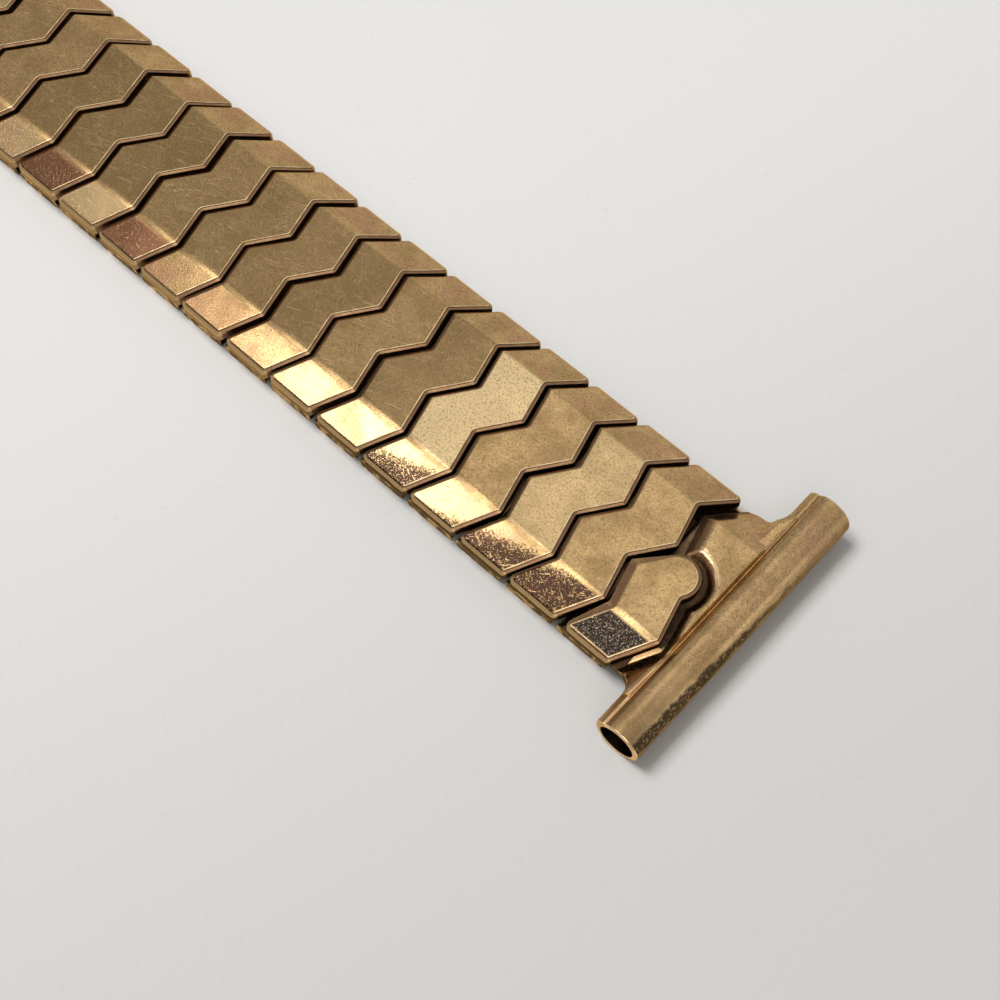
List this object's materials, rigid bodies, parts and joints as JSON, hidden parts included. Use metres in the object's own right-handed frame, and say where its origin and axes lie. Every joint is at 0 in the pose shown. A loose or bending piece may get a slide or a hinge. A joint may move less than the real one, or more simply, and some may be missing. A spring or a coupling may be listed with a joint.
{
  "type": "expansion watch band",
  "caption": "Straight-ended metal expansion band: gold-coloured stepped shells on two rows of sprung sleeves, with a spring-bar tube at each end.",
  "frame": {"origin": "middle of the footprint of the band laid flat and closed up, wrist side down", "axes": "+X along the band towards end A, +Y across it, +Z from the wrist side to the top shells"},
  "size_m": [0.1106, 0.018, 0.003],
  "materials": {
    "worn_gold": "worn satin gold shell",
    "sleeve_metal": "dull drawn sleeve metal"
  },
  "bodies": {
    "end_a": {"end_piece_a": "worn_gold", "end_cap_a": "worn_gold", "end_sleeve_a": "sleeve_metal"},
    "top_02": {"top_link_02": "worn_gold"},
    "top_03": {"top_link_03": "worn_gold"},
    "top_04": {"top_link_04": "worn_gold"},
    "top_05": {"top_link_05": "worn_gold"},
    "top_06": {"top_link_06": "worn_gold"},
    "top_07": {"top_link_07": "worn_gold"},
    "top_08": {"top_link_08": "worn_gold"},
    "top_09": {"top_link_09": "worn_gold"},
    "top_10": {"top_link_10": "worn_gold"},
    "top_11": {"top_link_11": "worn_gold"},
    "top_12": {"top_link_12": "worn_gold"},
    "top_13": {"top_link_13": "worn_gold"},
    "top_14": {"top_link_14": "worn_gold"},
    "top_15": {"top_link_15": "worn_gold"},
    "top_16": {"top_link_16": "worn_gold"},
    "top_17": {"top_link_17": "worn_gold"},
    "top_18": {"top_link_18": "worn_gold"},
    "top_19": {"top_link_19": "worn_gold"},
    "top_20": {"top_link_20": "worn_gold"},
    "top_21": {"top_link_21": "worn_gold"},
    "top_22": {"top_link_22": "worn_gold"},
    "top_23": {"top_link_23": "worn_gold"},
    "top_24": {"top_link_24": "worn_gold"},
    "top_25": {"top_link_25": "worn_gold"},
    "top_26": {"top_link_26": "worn_gold"},
    "top_27": {"top_link_27": "worn_gold"},
    "lower_01": {"lower_link_01": "sleeve_metal"},
    "lower_02": {"lower_link_02": "sleeve_metal"},
    "lower_03": {"lower_link_03": "sleeve_metal"},
    "lower_04": {"lower_link_04": "sleeve_metal"},
    "lower_05": {"lower_link_05": "sleeve_metal"},
    "lower_06": {"lower_link_06": "sleeve_metal"},
    "lower_07": {"lower_link_07": "sleeve_metal"},
    "lower_08": {"lower_link_08": "sleeve_metal"},
    "lower_09": {"lower_link_09": "sleeve_metal"},
    "lower_10": {"lower_link_10": "sleeve_metal"},
    "lower_11": {"lower_link_11": "sleeve_metal"},
    "lower_12": {"lower_link_12": "sleeve_metal"},
    "lower_13": {"lower_link_13": "sleeve_metal"},
    "lower_14": {"lower_link_14": "sleeve_metal"},
    "lower_15": {"lower_link_15": "sleeve_metal"},
    "lower_16": {"lower_link_16": "sleeve_metal"},
    "lower_17": {"lower_link_17": "sleeve_metal"},
    "lower_18": {"lower_link_18": "sleeve_metal"},
    "lower_19": {"lower_link_19": "sleeve_metal"},
    "lower_20": {"lower_link_20": "sleeve_metal"},
    "lower_21": {"lower_link_21": "sleeve_metal"},
    "lower_22": {"lower_link_22": "sleeve_metal"},
    "lower_23": {"lower_link_23": "sleeve_metal"},
    "lower_24": {"lower_link_24": "sleeve_metal"},
    "lower_25": {"lower_link_25": "sleeve_metal"},
    "lower_26": {"lower_link_26": "sleeve_metal"},
    "lower_27": {"lower_link_27": "sleeve_metal"},
    "end_b": {"end_piece_b": "worn_gold", "end_cap_b": "worn_gold", "end_sleeve_b": "sleeve_metal"}
  },
  "joints": [
    {"name": "stretch_01", "type": "slide", "parent": "end_a", "child": "lower_01", "axis": [-1, 0, 0], "range_m": [0, 0.0015], "stiffness_N_per_m": 300},
    {"name": "flex_01", "type": "hinge", "parent": "lower_01", "child": "top_02", "pos_m": [0.04781, 0, 0.0005], "axis": [0, -1, 0], "range_deg": [-3, 11]},
    {"name": "stretch_02", "type": "slide", "parent": "top_02", "child": "lower_02", "axis": [-1, 0, 0], "range_m": [0, 0.0015], "stiffness_N_per_m": 300},
    {"name": "flex_02", "type": "hinge", "parent": "lower_02", "child": "top_03", "pos_m": [0.04406, 0, 0.0005], "axis": [0, -1, 0], "range_deg": [-3, 11]},
    {"name": "stretch_03", "type": "slide", "parent": "top_03", "child": "lower_03", "axis": [-1, 0, 0], "range_m": [0, 0.0015], "stiffness_N_per_m": 300},
    {"name": "flex_03", "type": "hinge", "parent": "lower_03", "child": "top_04", "pos_m": [0.04031, 0, 0.0005], "axis": [0, -1, 0], "range_deg": [-3, 11]},
    {"name": "stretch_04", "type": "slide", "parent": "top_04", "child": "lower_04", "axis": [-1, 0, 0], "range_m": [0, 0.0015], "stiffness_N_per_m": 300},
    {"name": "flex_04", "type": "hinge", "parent": "lower_04", "child": "top_05", "pos_m": [0.03656, 0, 0.0005], "axis": [0, -1, 0], "range_deg": [-3, 11]},
    {"name": "stretch_05", "type": "slide", "parent": "top_05", "child": "lower_05", "axis": [-1, 0, 0], "range_m": [0, 0.0015], "stiffness_N_per_m": 300},
    {"name": "flex_05", "type": "hinge", "parent": "lower_05", "child": "top_06", "pos_m": [0.03281, 0, 0.0005], "axis": [0, -1, 0], "range_deg": [-3, 11]},
    {"name": "stretch_06", "type": "slide", "parent": "top_06", "child": "lower_06", "axis": [-1, 0, 0], "range_m": [0, 0.0015], "stiffness_N_per_m": 300},
    {"name": "flex_06", "type": "hinge", "parent": "lower_06", "child": "top_07", "pos_m": [0.02906, 0, 0.0005], "axis": [0, -1, 0], "range_deg": [-3, 11]},
    {"name": "stretch_07", "type": "slide", "parent": "top_07", "child": "lower_07", "axis": [-1, 0, 0], "range_m": [0, 0.0015], "stiffness_N_per_m": 300},
    {"name": "flex_07", "type": "hinge", "parent": "lower_07", "child": "top_08", "pos_m": [0.02531, 0, 0.0005], "axis": [0, -1, 0], "range_deg": [-3, 11]},
    {"name": "stretch_08", "type": "slide", "parent": "top_08", "child": "lower_08", "axis": [-1, 0, 0], "range_m": [0, 0.0015], "stiffness_N_per_m": 300},
    {"name": "flex_08", "type": "hinge", "parent": "lower_08", "child": "top_09", "pos_m": [0.02156, 0, 0.0005], "axis": [0, -1, 0], "range_deg": [-3, 11]},
    {"name": "stretch_09", "type": "slide", "parent": "top_09", "child": "lower_09", "axis": [-1, 0, 0], "range_m": [0, 0.0015], "stiffness_N_per_m": 300},
    {"name": "flex_09", "type": "hinge", "parent": "lower_09", "child": "top_10", "pos_m": [0.01781, 0, 0.0005], "axis": [0, -1, 0], "range_deg": [-3, 11]},
    {"name": "stretch_10", "type": "slide", "parent": "top_10", "child": "lower_10", "axis": [-1, 0, 0], "range_m": [0, 0.0015], "stiffness_N_per_m": 300},
    {"name": "flex_10", "type": "hinge", "parent": "lower_10", "child": "top_11", "pos_m": [0.01406, 0, 0.0005], "axis": [0, -1, 0], "range_deg": [-3, 11]},
    {"name": "stretch_11", "type": "slide", "parent": "top_11", "child": "lower_11", "axis": [-1, 0, 0], "range_m": [0, 0.0015], "stiffness_N_per_m": 300},
    {"name": "flex_11", "type": "hinge", "parent": "lower_11", "child": "top_12", "pos_m": [0.01031, 0, 0.0005], "axis": [0, -1, 0], "range_deg": [-3, 11]},
    {"name": "stretch_12", "type": "slide", "parent": "top_12", "child": "lower_12", "axis": [-1, 0, 0], "range_m": [0, 0.0015], "stiffness_N_per_m": 300},
    {"name": "flex_12", "type": "hinge", "parent": "lower_12", "child": "top_13", "pos_m": [0.00656, 0, 0.0005], "axis": [0, -1, 0], "range_deg": [-3, 11]},
    {"name": "stretch_13", "type": "slide", "parent": "top_13", "child": "lower_13", "axis": [-1, 0, 0], "range_m": [0, 0.0015], "stiffness_N_per_m": 300},
    {"name": "flex_13", "type": "hinge", "parent": "lower_13", "child": "top_14", "pos_m": [0.00281, 0, 0.0005], "axis": [0, -1, 0], "range_deg": [-3, 11]},
    {"name": "stretch_14", "type": "slide", "parent": "top_14", "child": "lower_14", "axis": [-1, 0, 0], "range_m": [0, 0.0015], "stiffness_N_per_m": 300},
    {"name": "flex_14", "type": "hinge", "parent": "lower_14", "child": "top_15", "pos_m": [-0.00094, 0, 0.0005], "axis": [0, -1, 0], "range_deg": [-3, 11]},
    {"name": "stretch_15", "type": "slide", "parent": "top_15", "child": "lower_15", "axis": [-1, 0, 0], "range_m": [0, 0.0015], "stiffness_N_per_m": 300},
    {"name": "flex_15", "type": "hinge", "parent": "lower_15", "child": "top_16", "pos_m": [-0.00469, 0, 0.0005], "axis": [0, -1, 0], "range_deg": [-3, 11]},
    {"name": "stretch_16", "type": "slide", "parent": "top_16", "child": "lower_16", "axis": [-1, 0, 0], "range_m": [0, 0.0015], "stiffness_N_per_m": 300},
    {"name": "flex_16", "type": "hinge", "parent": "lower_16", "child": "top_17", "pos_m": [-0.00844, 0, 0.0005], "axis": [0, -1, 0], "range_deg": [-3, 11]},
    {"name": "stretch_17", "type": "slide", "parent": "top_17", "child": "lower_17", "axis": [-1, 0, 0], "range_m": [0, 0.0015], "stiffness_N_per_m": 300},
    {"name": "flex_17", "type": "hinge", "parent": "lower_17", "child": "top_18", "pos_m": [-0.01219, 0, 0.0005], "axis": [0, -1, 0], "range_deg": [-3, 11]},
    {"name": "stretch_18", "type": "slide", "parent": "top_18", "child": "lower_18", "axis": [-1, 0, 0], "range_m": [0, 0.0015], "stiffness_N_per_m": 300},
    {"name": "flex_18", "type": "hinge", "parent": "lower_18", "child": "top_19", "pos_m": [-0.01594, 0, 0.0005], "axis": [0, -1, 0], "range_deg": [-3, 11]},
    {"name": "stretch_19", "type": "slide", "parent": "top_19", "child": "lower_19", "axis": [-1, 0, 0], "range_m": [0, 0.0015], "stiffness_N_per_m": 300},
    {"name": "flex_19", "type": "hinge", "parent": "lower_19", "child": "top_20", "pos_m": [-0.01969, 0, 0.0005], "axis": [0, -1, 0], "range_deg": [-3, 11]},
    {"name": "stretch_20", "type": "slide", "parent": "top_20", "child": "lower_20", "axis": [-1, 0, 0], "range_m": [0, 0.0015], "stiffness_N_per_m": 300},
    {"name": "flex_20", "type": "hinge", "parent": "lower_20", "child": "top_21", "pos_m": [-0.02344, 0, 0.0005], "axis": [0, -1, 0], "range_deg": [-3, 11]},
    {"name": "stretch_21", "type": "slide", "parent": "top_21", "child": "lower_21", "axis": [-1, 0, 0], "range_m": [0, 0.0015], "stiffness_N_per_m": 300},
    {"name": "flex_21", "type": "hinge", "parent": "lower_21", "child": "top_22", "pos_m": [-0.02719, 0, 0.0005], "axis": [0, -1, 0], "range_deg": [-3, 11]},
    {"name": "stretch_22", "type": "slide", "parent": "top_22", "child": "lower_22", "axis": [-1, 0, 0], "range_m": [0, 0.0015], "stiffness_N_per_m": 300},
    {"name": "flex_22", "type": "hinge", "parent": "lower_22", "child": "top_23", "pos_m": [-0.03094, 0, 0.0005], "axis": [0, -1, 0], "range_deg": [-3, 11]},
    {"name": "stretch_23", "type": "slide", "parent": "top_23", "child": "lower_23", "axis": [-1, 0, 0], "range_m": [0, 0.0015], "stiffness_N_per_m": 300},
    {"name": "flex_23", "type": "hinge", "parent": "lower_23", "child": "top_24", "pos_m": [-0.03469, 0, 0.0005], "axis": [0, -1, 0], "range_deg": [-3, 11]},
    {"name": "stretch_24", "type": "slide", "parent": "top_24", "child": "lower_24", "axis": [-1, 0, 0], "range_m": [0, 0.0015], "stiffness_N_per_m": 300},
    {"name": "flex_24", "type": "hinge", "parent": "lower_24", "child": "top_25", "pos_m": [-0.03844, 0, 0.0005], "axis": [0, -1, 0], "range_deg": [-3, 11]},
    {"name": "stretch_25", "type": "slide", "parent": "top_25", "child": "lower_25", "axis": [-1, 0, 0], "range_m": [0, 0.0015], "stiffness_N_per_m": 300},
    {"name": "flex_25", "type": "hinge", "parent": "lower_25", "child": "top_26", "pos_m": [-0.04219, 0, 0.0005], "axis": [0, -1, 0], "range_deg": [-3, 11]},
    {"name": "stretch_26", "type": "slide", "parent": "top_26", "child": "lower_26", "axis": [-1, 0, 0], "range_m": [0, 0.0015], "stiffness_N_per_m": 300},
    {"name": "flex_26", "type": "hinge", "parent": "lower_26", "child": "top_27", "pos_m": [-0.04594, 0, 0.0005], "axis": [0, -1, 0], "range_deg": [-3, 11]},
    {"name": "stretch_27", "type": "slide", "parent": "top_27", "child": "lower_27", "axis": [-1, 0, 0], "range_m": [0, 0.0015], "stiffness_N_per_m": 300},
    {"name": "flex_27", "type": "hinge", "parent": "lower_27", "child": "end_b", "pos_m": [-0.04969, 0, 0.0005], "axis": [0, -1, 0], "range_deg": [-3, 11]}
  ],
  "couplings": [
    {"joint": "stretch_02", "follows": "stretch_01", "ratio": 1},
    {"joint": "stretch_03", "follows": "stretch_01", "ratio": 1},
    {"joint": "stretch_04", "follows": "stretch_01", "ratio": 1},
    {"joint": "stretch_05", "follows": "stretch_01", "ratio": 1},
    {"joint": "stretch_06", "follows": "stretch_01", "ratio": 1},
    {"joint": "stretch_07", "follows": "stretch_01", "ratio": 1},
    {"joint": "stretch_08", "follows": "stretch_01", "ratio": 1},
    {"joint": "stretch_09", "follows": "stretch_01", "ratio": 1},
    {"joint": "stretch_10", "follows": "stretch_01", "ratio": 1},
    {"joint": "stretch_11", "follows": "stretch_01", "ratio": 1},
    {"joint": "stretch_12", "follows": "stretch_01", "ratio": 1},
    {"joint": "stretch_13", "follows": "stretch_01", "ratio": 1},
    {"joint": "stretch_14", "follows": "stretch_01", "ratio": 1},
    {"joint": "stretch_15", "follows": "stretch_01", "ratio": 1},
    {"joint": "stretch_16", "follows": "stretch_01", "ratio": 1},
    {"joint": "stretch_17", "follows": "stretch_01", "ratio": 1},
    {"joint": "stretch_18", "follows": "stretch_01", "ratio": 1},
    {"joint": "stretch_19", "follows": "stretch_01", "ratio": 1},
    {"joint": "stretch_20", "follows": "stretch_01", "ratio": 1},
    {"joint": "stretch_21", "follows": "stretch_01", "ratio": 1},
    {"joint": "stretch_22", "follows": "stretch_01", "ratio": 1},
    {"joint": "stretch_23", "follows": "stretch_01", "ratio": 1},
    {"joint": "stretch_24", "follows": "stretch_01", "ratio": 1},
    {"joint": "stretch_25", "follows": "stretch_01", "ratio": 1},
    {"joint": "stretch_26", "follows": "stretch_01", "ratio": 1},
    {"joint": "stretch_27", "follows": "stretch_01", "ratio": 1}
  ]
}
